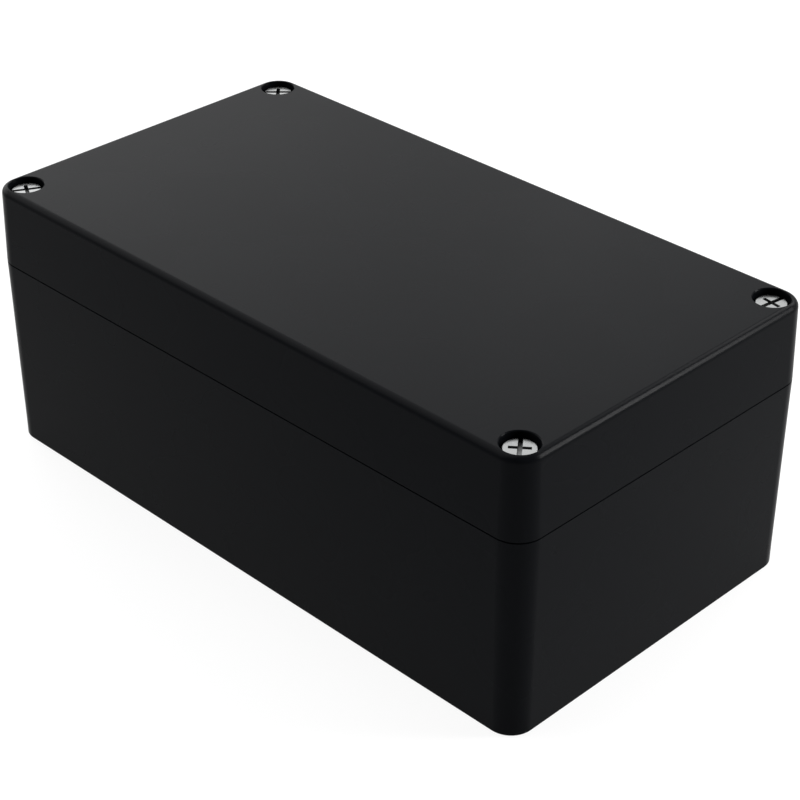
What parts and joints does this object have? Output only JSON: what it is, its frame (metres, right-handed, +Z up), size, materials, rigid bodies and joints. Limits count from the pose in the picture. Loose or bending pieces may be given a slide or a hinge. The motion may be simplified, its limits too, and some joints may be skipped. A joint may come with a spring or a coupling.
{
  "type": "plastic project box",
  "caption": "Rectangular black plastic project box with a deep base, a deep lid, a sealing groove and recessed captive screws at the corners.",
  "frame": {"origin": "middle of the base's underside", "axes": "+X along the length, +Y across the width to the rear, +Z up out of the lid"},
  "size_m": [0.22, 0.12, 0.089],
  "materials": {
    "shell": "fine satin moulded",
    "seal": "soft matt",
    "screw": "satin stainless",
    "ring": "natural nylon",
    "insert": "turned"
  },
  "bodies": {
    "base": {"base": "shell", "insert_front_left": "insert", "insert_front_right": "insert", "insert_rear_left": "insert", "insert_rear_right": "insert"},
    "lid": {"lid": "shell", "gasket": "seal"},
    "ring_front_left": {"ring_front_left": "ring"},
    "screw_front_left": {"screw_front_left": "screw"},
    "ring_front_right": {"ring_front_right": "ring"},
    "screw_front_right": {"screw_front_right": "screw"},
    "ring_rear_left": {"ring_rear_left": "ring"},
    "screw_rear_left": {"screw_rear_left": "screw"},
    "ring_rear_right": {"ring_rear_right": "ring"},
    "screw_rear_right": {"screw_rear_right": "screw"}
  },
  "joints": [
    {"name": "lid_lift", "type": "slide", "parent": "base", "child": "lid", "axis": [0, 0, 1], "range_m": [0, 0.08]},
    {"name": "screw_travel_front_left", "type": "slide", "parent": "lid", "child": "ring_front_left", "axis": [0, 0, 1], "range_m": [0, 0.0084]},
    {"name": "screw_turn_front_left", "type": "hinge", "parent": "ring_front_left", "child": "screw_front_left", "pos_m": [-0.1019, -0.0519, 0.0846], "axis": [0, 0, 1], "range_deg": [0, 3780]},
    {"name": "screw_travel_front_right", "type": "slide", "parent": "lid", "child": "ring_front_right", "axis": [0, 0, 1], "range_m": [0, 0.0084]},
    {"name": "screw_turn_front_right", "type": "hinge", "parent": "ring_front_right", "child": "screw_front_right", "pos_m": [0.1019, -0.0519, 0.0846], "axis": [0, 0, 1], "range_deg": [0, 3780]},
    {"name": "screw_travel_rear_left", "type": "slide", "parent": "lid", "child": "ring_rear_left", "axis": [0, 0, 1], "range_m": [0, 0.0084]},
    {"name": "screw_turn_rear_left", "type": "hinge", "parent": "ring_rear_left", "child": "screw_rear_left", "pos_m": [-0.1019, 0.0519, 0.0846], "axis": [0, 0, 1], "range_deg": [0, 3780]},
    {"name": "screw_travel_rear_right", "type": "slide", "parent": "lid", "child": "ring_rear_right", "axis": [0, 0, 1], "range_m": [0, 0.0084]},
    {"name": "screw_turn_rear_right", "type": "hinge", "parent": "ring_rear_right", "child": "screw_rear_right", "pos_m": [0.1019, 0.0519, 0.0846], "axis": [0, 0, 1], "range_deg": [0, 3780]}
  ],
  "couplings": [
    {"joint": "screw_turn_front_left", "follows": "screw_travel_front_left", "rad_per_m": 7854},
    {"joint": "screw_turn_front_right", "follows": "screw_travel_front_right", "rad_per_m": 7854},
    {"joint": "screw_turn_rear_left", "follows": "screw_travel_rear_left", "rad_per_m": 7854},
    {"joint": "screw_turn_rear_right", "follows": "screw_travel_rear_right", "rad_per_m": 7854}
  ]
}
